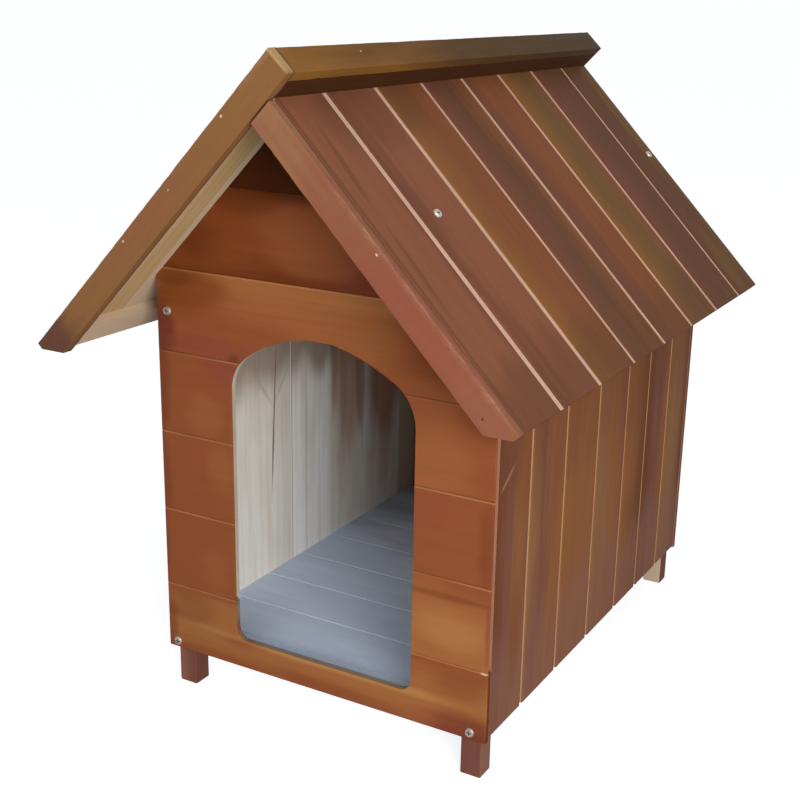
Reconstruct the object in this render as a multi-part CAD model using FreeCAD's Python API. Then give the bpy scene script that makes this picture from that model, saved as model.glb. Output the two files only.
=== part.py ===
import FreeCAD, Part
import math
import os

# A gable-roofed wooden dog house of tongue-and-groove boards, in millimetres.
# X runs across the front (the right wall is +X), Y runs from the doorway to the
# back, Z is up. The origin is on the ground under the centre of the roof.

Vector = FreeCAD.Vector

# ---- board stock ----
board_thickness = 8.0
board_cover = 95.0          # width that one board covers
tongue_top = 2.2            # from the face of the board to its tongue
tongue_thickness = 2.8
tongue_reach = 3.5          # how far a tongue enters the next board
groove_clearance = 0.2      # each side of the tongue
groove_depth = 4.0
lip_chamfer = 1.0           # small bevel along both long edges of the face
wall_reveal = 5.5           # width of tongue left showing between side wall boards
roof_reveals = (8.5, 8.0, 6.5, 7.5, 7.5, 8.0, 7.0)         # and between roof boards

# ---- house ----
wall_width = 422.0
wall_depth = 610.0          # over the front and back boards
leg_height = 48.0           # ground to the lower edge of the front
side_lift = 4.0             # side boards start this much above the front's lower edge
first_course = 82.5         # the lowest front board is ripped narrower
course_count = 7
right_covers = (83.5, 93.0, 94.8, 93.2, 75.5, 80.5, 73.5)  # side boards, front to back
left_covers = (47.5, *[board_cover] * 5, 71.5)

# ---- roof ----
roof_pitch = math.radians(46.0)
apex_rise = 682.0           # lower edge of the front to where the two roof planes meet
slope_length = 409.0        # from that line down to the eave
front_overhang = 110.0
rear_overhang = 24.0
roof_board_count = len(roof_reveals) + 1
first_roof_cover = 86.5     # the front and rear roof boards are ripped narrower
batten_width = 30.0         # barge boards, ridge board and eave battens are one stock
batten_thickness = 12.0
ridge_lap = 32.0            # the left slope runs this far past the apex, over the right
barge_gap = 2.5             # between the left barge board and the end of the right one
eave_inset = 10.0           # eave battens stop this far above the board ends
rafter_width = 24.0
rafter_top_gap = 45.0       # rafters start this far below the apex
front_rafter_end = 290.0

# ---- frame and floor ----
post_size = 24.0
rail_height = 12.0
top_rail_height = 25.0
post_top = 428.0            # above the lower edge of the front
floor_top = 20.0
floor_cover = 75.5
first_floor_cover = 33.5

# ---- doorway, measured from the middle and the lower edge of the front ----
sill_height = 34.5
door_left = -111.5
door_right = 119.5
door_corner = 14.0
arch_spring_left = 338.0
arch_spring_right = 329.0
left_shoulder = ((-105.0, 360.0), (-88.0, 377.5))
left_crown = ((-52.0, 396.5), (-8.0, 406.0))
right_crown_start = 20.0
right_crown = ((62.0, 393.0), (100.0, 373.0))
right_shoulder = (113.5, 356.0)

# ---- screws ----
head_radius = 5.4
head_top_radius = 4.3
head_height = 1.9
shank_radius = 2.0
shank_length = 26.0
recess_length = 5.8
recess_width = 1.1
recess_depth = 0.9
wall_screws = ((-198.5, 8.0), (192.5, 8.5), (-197.0, 413.5), (192.5, 413.5))  # x and rise
roof_screw_slope = 184.0
rear_screw_setback = 6.0    # from the outside of the back wall

# ---- derived places ----
cos_pitch = math.cos(roof_pitch)
sin_pitch = math.sin(roof_pitch)
roof_length = front_overhang + wall_depth + rear_overhang
roof_front = -roof_length / 2
roof_rear = roof_length / 2
front_face = roof_front + front_overhang
back_face = front_face + wall_depth
half_width = wall_width / 2
wall_base = leg_height
apex_z = wall_base + apex_rise
room_half = half_width - board_thickness
room_front = front_face + board_thickness
room_back = back_face - board_thickness
slab_depth = batten_width          # barge boards are as deep as the whole slope
reach = 900.0                      # longer than any board, for cutting blocks

X = Vector(1, 0, 0)
Y = Vector(0, 1, 0)
Z = Vector(0, 0, 1)


# ---- shapes ----
def prism(points, direction):
    """A solid from a closed outline of points, pushed along a vector."""
    return Part.Face(Part.makePolygon(points + points[:1])).extrude(direction)


def block(x0, x1, y0, y1, z0, z1):
    return Part.makeBox(x1 - x0, y1 - y0, z1 - z0, Vector(x0, y0, z0))


def board_section(cover, reveal, groove, tongue):
    """Outline of a board: u across it, t from its face inwards."""
    face_end = cover - reveal if tongue else cover
    tongue_bottom = tongue_top + tongue_thickness
    outline = [(lip_chamfer, 0), (face_end - lip_chamfer, 0), (face_end, lip_chamfer)]
    if tongue:
        outline += [(face_end, tongue_top), (cover + tongue_reach, tongue_top),
                    (cover + tongue_reach, tongue_bottom), (cover, tongue_bottom)]
    outline += [(cover, board_thickness), (0, board_thickness)]
    if groove:
        groove_top = tongue_top - groove_clearance
        groove_bottom = tongue_bottom + groove_clearance
        outline += [(0, groove_bottom), (groove_depth, groove_bottom),
                    (groove_depth, groove_top), (0, groove_top)]
    return outline + [(0, lip_chamfer)]


def board(section, corner, across, inward, along):
    """A board whose section starts at corner; along is its length as a vector."""
    points = [corner + across * u + inward * t for u, t in section]
    return prism(points, along)


def slope_point(side, s, y, depth):
    """A point s down the slope from the apex and depth below its outer plane."""
    return Vector(side * (s * cos_pitch - depth * sin_pitch), y,
                  apex_z - s * sin_pitch - depth * cos_pitch)


def slope_bar(side, outline, y0, y1):
    """A bar along the ridge direction with its outline in s and depth."""
    points = [slope_point(side, s, y0, depth) for s, depth in outline]
    return prism(points, Y * (y1 - y0))


def rectangle(s0, s1, depth0, depth1):
    return [(s0, depth0), (s1, depth0), (s1, depth1), (s0, depth1)]


def under_roof():
    """Everything between the lower edge of the front and the roof boards."""
    drop = board_thickness / cos_pitch
    wide = half_width + 1.0
    low = apex_z - drop - wide * math.tan(roof_pitch)
    points = [Vector(-wide, front_face, wall_base), Vector(wide, front_face, wall_base),
              Vector(wide, front_face, low), Vector(0, front_face, apex_z - drop),
              Vector(-wide, front_face, low)]
    return prism(points, Y * wall_depth)


def doorway():
    """The hand-cut opening: near-square foot, sprung sides and a low, uneven crown."""
    def at(x, rise):
        return Vector(x, front_face - 1.0, wall_base + rise)

    def arc(a, b, c):
        return Part.Arc(at(*a), at(*b), at(*c)).toShape()

    def line(a, b):
        return Part.LineSegment(at(*a), at(*b)).toShape()

    inset = door_corner * (1 - math.sqrt(0.5))
    left_foot = (door_left, sill_height + door_corner)
    left_sill = (door_left + door_corner, sill_height)
    right_sill = (door_right - door_corner, sill_height)
    right_foot = (door_right, sill_height + door_corner)
    left_spring = (door_left, arch_spring_left)
    right_spring = (door_right, arch_spring_right)
    crown_end = (right_crown_start, left_crown[1][1])
    edges = [
        line(left_sill, right_sill),
        arc(right_sill, (door_right - inset, sill_height + inset), right_foot),
        line(right_foot, right_spring),
        arc(right_spring, right_shoulder, right_crown[1]),
        arc(right_crown[1], right_crown[0], crown_end),
        line(crown_end, left_crown[1]),
        arc(left_crown[1], left_crown[0], left_shoulder[1]),
        arc(left_shoulder[1], left_shoulder[0], left_spring),
        line(left_spring, left_foot),
        arc(left_foot, (door_left + inset, sill_height + inset), left_sill),
    ]
    return Part.Face(Part.Wire(edges)).extrude(Y * (board_thickness + 2.0))


# ---- walls ----
def course_rises():
    """Lower edge of each course, and the top of the last."""
    rises = [0.0] + [first_course + board_cover * i for i in range(course_count)]
    return [wall_base + rise for rise in rises]


def courses(y, inward):
    """The level boards of an end wall, before the gable is cut."""
    rises = course_rises()
    boards = []
    for i in range(course_count):
        section = board_section(rises[i + 1] - rises[i], 0.0, i > 0, i < course_count - 1)
        boards.append(board(section, Vector(-half_width, y, rises[i]), Z, inward, X * wall_width))
    return boards


def front_boards(roof_space):
    """Front boards by name; the doorway splits some courses into two boards."""
    named = {}
    opening = doorway()
    for i, whole in enumerate(courses(front_face, Y)):
        solids = whole.common(roof_space).cut(opening).Solids
        solids.sort(key=lambda solid: solid.CenterOfMass.x)
        name = "front_board_%d" % (i + 1)
        if len(solids) == 1:
            named[name] = solids[0]
        else:
            named[name + "_left"], named[name + "_right"] = solids
    return named


def back_boards(roof_space):
    trimmed = [whole.common(roof_space).Solids[0] for whole in courses(back_face, -Y)]
    return {"back_wall_boards": Part.makeCompound(trimmed)}


def side_boards(side, label, covers, roof_space):
    """Upright boards of one side wall, from front to back."""
    named = {}
    y = room_front
    last = len(covers) - 1
    for i, cover in enumerate(covers):
        section = board_section(cover, wall_reveal, i > 0, i < last)
        corner = Vector(side * half_width, y, wall_base + side_lift)
        upright = board(section, corner, Y, X * -side, Z * reach)
        named["%s_wall_board_%d" % (label, i + 1)] = upright.common(roof_space).Solids[0]
        y += cover
    return named


def frame_pieces():
    """Corner posts that are also the legs, and the rails between them."""
    named = {}
    outer = room_half
    inner = room_half - post_size
    ends = (("front", room_front), ("rear", room_back - post_size))
    rail_front = room_front + post_size
    rail_back = room_back - post_size
    for side, label in ((-1, "left"), (1, "right")):
        x0, x1 = sorted((side * inner, side * outer))
        for end, y in ends:
            named["%s_%s_post" % (end, label)] = block(
                x0, x1, y, y + post_size, 0.0, wall_base + post_top)
        named[label + "_bottom_rail"] = block(
            x0, x1, rail_front, rail_back, wall_base, wall_base + rail_height)
        named[label + "_top_rail"] = block(
            x0, x1, rail_front, rail_back,
            wall_base + post_top - top_rail_height, wall_base + post_top)
    return named


def floor_covers():
    """Widths of the floor boards: the two end ones are ripped to fit."""
    depth = room_back - room_front - first_floor_cover
    whole = int(depth // floor_cover)
    return [first_floor_cover] + [floor_cover] * whole + [depth - whole * floor_cover]


def floor_boards():
    """Floor boards across the house; the end ones stop short of the posts."""
    solids = []
    y = room_front
    covers = floor_covers()
    last = len(covers) - 1
    for i, cover in enumerate(covers):
        half = room_half - post_size if i in (0, last) else room_half
        section = board_section(cover, 0.0, i > 0, i < last)
        corner = Vector(-half, y, wall_base + floor_top)
        solids.append(board(section, corner, Y, -Z, X * (2 * half)))
        y += cover
    return {"floor_boards": Part.makeCompound(solids)}


# ---- roof ----
def roof_covers():
    """Widths of the roof boards, from front to back."""
    covers = [first_roof_cover] + [board_cover] * (roof_board_count - 2)
    return covers + [roof_length - batten_thickness - sum(covers)]


def over_left_slope(depth):
    """A block that holds the left slope down to a given depth."""
    outline = rectangle(-reach / 2, reach, -reach / 2, depth)
    return slope_bar(-1, outline, roof_front - 1.0, roof_rear + 1.0)


def roof_boards(side, label):
    """Boards of one slope, from front to back, each running from ridge to eave."""
    named = {}
    top = batten_thickness - ridge_lap if side < 0 else -board_cover / 2
    down = Vector(side * cos_pitch, 0, -sin_pitch)
    inward = Vector(-side * sin_pitch, 0, -cos_pitch)
    lapped = over_left_slope(board_thickness)
    y = roof_front + batten_thickness
    reveals = roof_reveals + (0.0,)
    for i, cover in enumerate(roof_covers()):
        section = board_section(cover, reveals[i], i > 0, i < len(roof_reveals))
        piece = board(section, slope_point(side, top, y, 0), Y, inward,
                      down * (slope_length - top))
        if side > 0:
            piece = piece.cut(lapped).Solids[0]
        named["%s_roof_board_%d" % (label, i + 1)] = piece
        y += cover
    return named


def barge_outline(top):
    """Barge board from its top end to the eave: a short square cut, then a level one."""
    level_cut = (slab_depth - board_thickness) / math.tan(roof_pitch)
    return [(top, 0), (slope_length, 0), (slope_length, board_thickness),
            (slope_length - level_cut, slab_depth), (top, slab_depth)]


def roof_trim():
    """Barge boards, ridge board and the battens under the roof boards."""
    trim_back = roof_front + batten_thickness
    ridge_inner = batten_thickness - ridge_lap
    ridge_foot = [(-depth / math.tan(2 * roof_pitch), depth)
                  for depth in (slab_depth, board_thickness)]
    ridge_outline = [(ridge_inner, board_thickness), (ridge_inner, slab_depth)] + ridge_foot
    eave = rectangle(slope_length - eave_inset - batten_width, slope_length - eave_inset,
                     board_thickness, board_thickness + batten_thickness)
    right_barge = slope_bar(1, barge_outline(-board_cover), roof_front, trim_back)
    named = {
        "left_barge_board": slope_bar(-1, barge_outline(-ridge_lap), roof_front, trim_back),
        "right_barge_board": right_barge.cut(over_left_slope(slab_depth + barge_gap)).Solids[0],
        "ridge_board": slope_bar(-1, rectangle(-ridge_lap, ridge_inner, 0, slab_depth),
                                 trim_back, roof_rear),
        "ridge_batten": slope_bar(-1, ridge_outline, trim_back, roof_rear),
    }
    for side, label in ((-1, "left"), (1, "right")):
        named[label + "_eave_batten"] = slope_bar(side, eave, trim_back, roof_rear)
    return named


def rafters():
    """Rafters inside the front gable, and behind the back wall under the overhang."""
    front = rectangle(rafter_top_gap, front_rafter_end, board_thickness, slab_depth)
    eave_batten_top = slope_length - eave_inset - batten_width
    rear = rectangle(rafter_top_gap, eave_batten_top, board_thickness, slab_depth)
    named = {}
    for side, label in ((-1, "left"), (1, "right")):
        named[label + "_front_rafter"] = slope_bar(
            side, front, room_front, room_front + rafter_width)
    rear_pair = [slope_bar(side, rear, back_face, roof_rear) for side in (-1, 1)]
    named["rear_rafters"] = Part.makeCompound(rear_pair)
    return named


# ---- screws ----
def shank(seat, outward):
    return Part.makeCylinder(shank_radius, shank_length, seat, outward * -1)


def screw(seat, outward, level):
    """A pan-head cross-recess screw whose head sits on the surface at seat."""
    head = Part.makeCone(head_radius, head_top_radius, head_height, seat, outward)
    floor = seat + outward * (head_height - recess_depth)
    other = outward.cross(level)
    for along, across in ((level, other), (other, level)):
        start = floor - along * (recess_length / 2) - across * (recess_width / 2)
        slot = [start, start + along * recess_length,
                start + along * recess_length + across * recess_width,
                start + across * recess_width]
        head = head.cut(prism(slot, outward * (2 * recess_depth)))
    return head.fuse(shank(seat, outward)).removeSplitter()


def screw_seats():
    """Seat, outward direction and an in-surface direction of every screw."""
    seats = []
    for x, rise in wall_screws:
        seats.append((Vector(x, front_face, wall_base + rise), -Y, X))
        seats.append((Vector(x, back_face, wall_base + rise), Y, X))
    for side in (-1, 1):
        outward = Vector(side * sin_pitch, 0, cos_pitch)
        for y in (room_front + rafter_width / 2, back_face + rear_screw_setback):
            seats.append((slope_point(side, roof_screw_slope, y, 0), outward, Y))
    return seats


def drill(parts, seats):
    """Cut each screw's hole out of the pieces that it passes through."""
    for seat, outward, _ in seats:
        hole = shank(seat, outward)
        for name, shape in parts.items():
            if hole.BoundBox.intersect(shape.BoundBox) and hole.common(shape).Volume > 0.001:
                parts[name] = shape.cut(hole)


# ---- assembly ----
def build():
    roof_space = under_roof()
    parts = {}
    parts.update(front_boards(roof_space))
    parts.update(back_boards(roof_space))
    for side, label, covers in ((-1, "left", left_covers), (1, "right", right_covers)):
        parts.update(side_boards(side, label, covers, roof_space))
        parts.update(roof_boards(side, label))
    parts.update(frame_pieces())
    parts.update(floor_boards())
    parts.update(roof_trim())
    parts.update(rafters())
    seats = screw_seats()
    drill(parts, seats)
    parts["screws"] = Part.makeCompound([screw(*seat) for seat in seats])
    return parts


os.makedirs("parts", exist_ok=True)
for node, shape in build().items():
    if not shape.isValid():
        raise ValueError("not a valid solid: " + node)
    shape.exportStep("parts/%s.step" % node)
    print(node, len(shape.Solids), round(shape.Volume))
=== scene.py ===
"""Finishes for a wooden dog house: brown stain, bare undersides, floor paint, worn corners."""

import math

import bmesh
import bpy
from mathutils import Matrix, Vector, noise


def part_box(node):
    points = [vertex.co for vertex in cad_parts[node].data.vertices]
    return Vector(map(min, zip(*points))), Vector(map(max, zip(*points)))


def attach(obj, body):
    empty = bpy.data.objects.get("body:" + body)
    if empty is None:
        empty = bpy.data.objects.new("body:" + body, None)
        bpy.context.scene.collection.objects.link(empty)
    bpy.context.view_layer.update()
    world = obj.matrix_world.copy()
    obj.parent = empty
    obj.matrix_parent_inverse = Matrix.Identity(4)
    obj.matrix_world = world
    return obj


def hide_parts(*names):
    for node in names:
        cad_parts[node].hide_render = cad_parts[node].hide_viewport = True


bl_info = {
    "name": "Wooden dog house finishes",
    "version": (1, 0, 0),
    "blender": (4, 5, 0),
    "location": "3D View > Sidebar > Dog House",
    "description": "Stains, paints and weathers the boards of a small wooden dog house",
    "category": "Object",
}

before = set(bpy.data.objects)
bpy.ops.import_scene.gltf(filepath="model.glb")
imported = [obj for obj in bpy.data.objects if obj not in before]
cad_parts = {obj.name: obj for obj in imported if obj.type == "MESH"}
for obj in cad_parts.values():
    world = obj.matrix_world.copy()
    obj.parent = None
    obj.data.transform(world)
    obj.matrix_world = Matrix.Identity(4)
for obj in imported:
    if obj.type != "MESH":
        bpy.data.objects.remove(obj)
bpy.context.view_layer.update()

MM = 0.001
X = Vector((1, 0, 0))
Y = Vector((0, 1, 0))
Z = Vector((0, 0, 1))
SIDES = ((1, "right"), (-1, "left"))


def from_hex(code):
    """An sRGB hex colour as linear red, green, blue and alpha, by the curve of the standard."""
    channels = [int(code[i:i + 2], 16) / 255 for i in (1, 3, 5)]
    linear = [c / 12.92 if c <= 0.04045 else ((c + 0.055) / 1.055) ** 2.4 for c in channels]
    return (*linear, 1.0)


# ---- places read from the frame ----
front_low, front_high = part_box("front_board_1")
front_face = front_low.y
wall_base = front_low.z
half_width = front_high.x
roof_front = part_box("left_barge_board")[0].y
back_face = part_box("back_wall_boards")[1].y
TONGUE_REACH = 3.5  # how far a board's upper tongue goes past its face, mm
INNER_FACE = 7.95  # deeper than this in a board its back face is meant, mm
RIDGE_LAP = 32 * MM  # how far the ridge board reaches past the apex
ROOF_PITCH = math.radians(46)
APEX_HEIGHT = 682 * MM  # where the slopes' outer faces meet, over the walls' foot
APEX = Vector((0, 0, wall_base + APEX_HEIGHT))


def slope_axes(side):
    """Unit vectors down a slope and into it; side is 1 for the right and -1 for the left."""
    down = Vector((side * math.cos(ROOF_PITCH), 0, -math.sin(ROOF_PITCH)))
    inward = Vector((-side * math.sin(ROOF_PITCH), 0, -math.cos(ROOF_PITCH)))
    return down, inward


# ---- settings ----
def colour_setting(name, description, code):
    """A colour that a user can change, given as sRGB hex."""
    return bpy.props.FloatVectorProperty(name=name.replace("_", " ").capitalize(),
                                         description=description, subtype="COLOR", size=4,
                                         min=0, max=1, default=from_hex(code))


def number_setting(name, description, default, **more):
    """A number that a user can change, with its unit or its least value in more."""
    return bpy.props.FloatProperty(name=name, description=description, default=default, **more)


def length_setting(name, description, millimetres):
    """A length that a user can change."""
    return number_setting(name, description, millimetres * MM, unit="LENGTH",
                          subtype="DISTANCE", min=0, precision=4)


# The name of each colour, what it is for, and its default.
COLOURS = {
    "wall_honey": ("Thin stain on the front boards", "#965F36"),
    "wall_russet": ("Usual stain on the front boards", "#864B2B"),
    "wall_umber": ("Deep stain on the front boards", "#653015"),
    "wall_gold": ("Stain rubbed thin along the sill", "#AC7A48"),
    "wall_sienna": ("Warmer stain on the upper boards", "#7A3F1C"),
    # The darkest gable colour is a deep stain darkened further: painted shade under the roof at
    # the top of the gable.
    "wall_deep": ("Darkest stain, at the top of the gable", "#43200E"),
    "wall_rose": ("Redder stain round the doorway", "#834231"),
    "wall_plum": ("Stain laid twice on the front boards", "#6A3324"),
    "side_honey": ("Thin stain on the side boards", "#835B3C"),
    "side_russet": ("Usual stain on the side boards", "#845431"),
    "side_umber": ("Deep stain on the side boards", "#673C24"),
    "side_dusk": ("Faded stain near the ground", "#80594A"),
    "side_plum": ("Stain laid twice on the side boards", "#734837"),
    "roof_honey": ("Thin stain on the roof boards", "#84562C"),
    "roof_russet": ("Usual stain on the roof boards", "#83513A"),
    "roof_sienna": ("Browner stain on the rear roof boards", "#7E4B2D"),
    "roof_umber": ("Deep stain on the roof boards", "#63402A"),
    "roof_plum": ("Stain laid twice on the roof boards", "#6E4331"),
    "roof_olive": ("Stain that the sun has greened", "#6E4F2C"),
    "trim_honey": ("Thin stain on the barge boards", "#916648"),
    "trim_russet": ("Usual stain on the barge boards", "#87543D"),
    "trim_rose": ("Reddest stain on the barge boards", "#874F3C"),
    "trim_umber": ("Deep stain on the barge boards", "#624034"),
    "trim_olive": ("Greened stain on the left barge board", "#845C37"),
    "ridge_honey": ("Stain at the ridge board's front", "#875C2A"),
    "ridge_russet": ("Stain on the ridge board", "#563D21"),
    "ridge_umber": ("Stain at the ridge board's rear", "#503C27"),
    # The ridge batten's colour is a dark stain darkened further: painted shade under the left
    # slope's lap.
    "ridge_shade": ("Stain on the ridge batten", "#462815"),
    "leg_russet": ("Stain on the posts", "#855649"),
    # The posts' deep stain is, on the shaded right-hand face of the front left post, partly
    # painted shade.
    "leg_umber_and_shade": ("Deep stain on the posts", "#70463B"),
    "tongue": ("Bare tongues between the roof boards", "#CBAA94"),
    "side_tongue": ("Tongues between the side boards", "#C09A70"),
    "worn_end": ("Rubbed ends of the front boards", "#9C6A52"),
    "sill_grey": ("Paint and wear on the sill's upper edge", "#8E867B"),
    # The rubbed lip is partly a painted highlight along the seam's edge.
    "lip": ("Rubbed upper lip of a front board", "#C58A58"),
    "fibre": ("Wood laid bare by wear", "#BE9078"),
    "bare_tan": ("Unfinished wood under the roof", "#B89A69"),
    "bare_fawn": ("Pinker unfinished wood at the eaves", "#C6AE93"),
    "white_edge": ("Scraped edge of an inner board", "#FBFAF6"),
    "warm_brown": ("Inner boards lit by the stained wood", "#BE8F78"),
    "jamb": ("Handled wood on the doorway's edge", "#B5A796"),
    "bare_grey": ("Unfinished wood inside the house", "#EAE7DF"),
    # The dark streak colour also paints the shadow along the top of the inner walls.
    "latewood": ("Dark streaks in unfinished wood", "#8F745F"),
    "bare_brown": ("Browner unfinished wood", "#C6B39E"),
    # This dark colour also darkens the screw heads' recesses and rims: dirt and painted shade.
    "knot": ("Small knots and nail holes", "#3A2118"),
    "cream": ("Chips down to clean wood", "#E8D2AE"),
    "paint": ("Floor paint", "#D4E4FC"),
    # The first seam is filled with paint in a darker tone: painted shade over the light its
    # chamfer catches.
    "seam_paint_and_shade": ("Floor paint that fills the first seam", "#B4C2D8"),
    # Darker floor paint at the far end: painted shade inside the house.
    "far_floor_shade": ("Dirty paint at the far end of the floor", "#8E9AAE"),
    "worn_paint": ("Floor paint where feet rub it", "#DEE9F8"),
    "steel": ("Plated screw heads", "#CFC9BA"),
    "tarnish": ("Dull places on the screw heads", "#8E8676"),
}


class DogHouseColours(bpy.types.PropertyGroup):
    """Colours of the stains, bare wood, paint and steel."""
    __annotations__ = {name: colour_setting(name, *given) for name, given in COLOURS.items()}


class DogHouseSizes(bpy.types.PropertyGroup):
    """Sizes of the grain and of the wear."""
    pore_width: length_setting("Pore width", "Width of the finest streak of grain", 0.9)
    streak_width: length_setting("Streak width", "Width of a streak of darker grain", 8.0)
    cloud_width: length_setting("Cloud width", "Width of a patch of uneven stain", 45.0)
    easing: length_setting("Easing", "How far sharp corners are rubbed away", 0.8)
    dent: length_setting("Dent", "Deepest wear of a barge board's corner", 1.3)


class DogHouseStage(bpy.types.PropertyGroup):
    """Camera and lamps."""
    lens: number_setting("Lens", "Focal length on a 36 mm sensor", 59.07,
                         subtype="DISTANCE_CAMERA")
    yaw: number_setting("Yaw", "Turn of the camera to the left", math.radians(29.72),
                        subtype="ANGLE")
    pitch: number_setting("Pitch", "Tilt of the camera downwards", math.radians(17.40),
                          subtype="ANGLE")
    roll: number_setting("Roll", "Turn about the line of sight", math.radians(1.0),
                         subtype="ANGLE")
    place: bpy.props.FloatVectorProperty(name="Place", description="Where the camera stands",
                                         subtype="TRANSLATION", default=(0.7275, -1.3592, 0.8050))
    ambient: number_setting("Ambient", "Strength of the even light", 0.47, min=0)
    key_power: number_setting("Key power", "Power of the lamp in front", 12.0, min=0,
                              subtype="POWER")
    side_power: number_setting("Side power", "Power of the right lamp", 56.0, min=0,
                               subtype="POWER")


# ---- how the patterns are drawn ----
# How many times longer than wide the patches of each pattern are, and what it adds to a seed.
CLOUD_LENGTH = 3.2
STREAK_LENGTH, STREAK_SEED = 28, 0.4
PORE_LENGTH, PORE_SEED = 34, 0.7
# Each finish of the wood: height of its raised grain in millimetres, and roughness.
STAINED, BARE, PAINTED = (0.12, 0.6), (0.2, 0.75), (0.08, 0.5)
STREAK_RELIEF = 0.7  # how high a streak stands where a pore stands 1
RELIEF_STRENGTH = 0.3
ROUGHNESS_DRIFT = 0.25  # how much smoother the palest streak is than the darkest
WOOD_SPECULAR = 0.05  # weathered wood hardly shines
# How much of a colour's value two patterns of the grain take and give, the broader one first.
STAIN_GRAIN, TONGUE_GRAIN, SKIN_GRAIN = (0.19, 0.14), (0.5, 0.2), (0.3, 0.2)
BARE_GRAIN, PAINT_GRAIN = (0.16, 0.14), (0.3, 0.12)
CLOUD_DRIFT, STREAK_DRIFT = 0.75, 0.35  # how far the patterns push bands of stain, in spans
TOUCH_FRAY = 1.2  # how far the clouds fray a touch's edge, in its reaches
SURFACE_MARGIN = 0.04  # half the blend from one depth's colour to the next, mm
SKIN_DEPTH = 0.2  # mm
GROOVE_DEPTH = 1.3  # the wood of the tongues is bare deeper than this, mm
LIP_ZONE, LIP_STRENGTH = (2.0, 1.2), 0.45  # start and full wear and painted highlight, mm under a seam
DIRT_ZONE, DIRT_STRENGTH = (1.3, 0.6), 0.65  # start and full dirt, mm over a seam
FLECK_SIZE, FLECK_SEED = 1.4, 3.3  # pale flecks of end grain, mm
END_SHADE = 0.66  # value of end grain beside the face's 1
FIBRE_LENGTH, FIBRE_WIDTH, FIBRE_SEED = 7.0, 1.6, 8.1  # torn fibres, mm
WEAR_LENGTH, WEAR_WIDTH, WEAR_SEED = 45.0, 30.0, 5.2  # patches of them, mm
WEAR_COMES, WEAR_GOES = 90, 40  # over how many millimetres the wear starts and ends
STROKE_LENGTH, STROKE_WIDTH, STROKE_SEED = 60, 9, 0.2  # strokes of the paint brush, mm
TARNISH_SIZE = 2.5 * MM
RECESS_REACH = 2.2 * MM  # how near another face is where a screw darkens: dirt and painted shade
STEEL_METALLIC = 0.8  # some dirt lies over the zinc
# Masks turn a pattern into the share of a colour: 1 is where a mask starts and 2 where it ends,
# 3 is its share before the start and 4 after the end. They are 0 and 1 unless they are given.
TOUCH_EDGE = {1: 1.6, 2: 0.95}  # over the distance from its middle, in its reaches
LIP_WEAR = {1: 0.3, 2: 0.6, 3: 0.25}
END_FACING = {1: 0.75, 2: 0.95}  # over how squarely a face looks along the grain
END_FLECKS = {1: 0.58, 2: 0.78, 4: 0.3}
ARRIS_REACH = {1: 6.5, 2: 0.6}  # over the distance from the corner, mm
ARRIS_FIBRES = {1: 0.42, 2: 0.66, 3: 0.08, 4: 0.45}
ARRIS_PATCHES = {1: 0.3, 2: 0.5, 3: 0.3}
LATEWOOD = {1: 0.45, 2: 0.8, 4: 0.55}
WEATHERED = {1: 0.5, 2: 0.8, 4: 0.4}
RUBBED_STROKES = {1: 0.5, 2: 0.7, 4: 0.7}
TARNISHED = {1: 0.45, 2: 0.7}
OPEN_AIR = {1: 0.5, 2: 0.95}
STEEL_ROUGHNESS = {1: 0.3, 2: 0.7, 3: 0.35, 4: 0.55}
# For each group of boards: where its seeds start, how far one board's seed is from the next
# one's, and how far each side's is from the middle. So no two boards have the same pattern.
SEEDS = {"front": (0, 2.7, 0), "side": (40, 1.9, 9), "back": (90.5, 0, 0),
         "roof": (60, 2.3, 11), "barge": (80.6, 0, 1), "ridge": (85.1, 0, 0),
         "ridge_batten": (86.2, 0, 0), "post": (90, 1.7, 0), "rail": (92.2, 1.3, 0.2),
         "rafter": (96.4, 0, 1), "rear_rafters": (99.1, 0, 0), "floor": (98.3, 0, 0)}


def seed_of(group, number=0, side=0):
    """The seed of a board's pattern, by its group, its number in it and its side."""
    start, step, apart = SEEDS[group]
    return start + number * step + side * apart


def stain_names(group, bands):
    """The full names of a board's stains: the group's name before each short one."""
    return [group + "_" + band for band in bands.split()]


# ---- materials ----
def add(tree, kind, inputs=None, out=0, **settings):
    """Add a shader node, set its properties, link or set its inputs, and give back an output."""
    node = tree.nodes.new("ShaderNode" + kind)
    for name, value in settings.items():
        setattr(node, name, value)
    for socket, value in (inputs or {}).items():
        if isinstance(value, bpy.types.NodeSocket):
            tree.links.new(value, node.inputs[socket])
        else:
            node.inputs[socket].default_value = value
    return node.outputs[out] if len(node.outputs) else None


def shade_of(name):
    """One of the colours in the settings, by name."""
    return tuple(getattr(bpy.context.scene.dog_house_colours, name))


class Grain:
    """How a board lies: its origin, the directions along it, across it and into it, and the span
    in millimetres over which its stains follow each other, if it is stained."""

    def __init__(self, origin, along, across, inward, span=None):
        self.origin = Vector(origin)
        self.axes = (along, across, inward)
        self.span = span


def new_material(name):
    """A material without nodes, and its node tree."""
    material = bpy.data.materials.new(name)
    material.use_nodes = True
    material.node_tree.nodes.clear()
    return material, material.node_tree


def board_space(tree, grain):
    """Place on the board in millimetres: along it, across it and into it."""
    at = add(tree, "TexCoord", out="Object")
    shifted = add(tree, "VectorMath", {0: at, 1: grain.origin}, operation="SUBTRACT")
    return [add(tree, "VectorMath", {0: shifted, 1: axis / MM}, out="Value",
                operation="DOT_PRODUCT") for axis in grain.axes]


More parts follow.
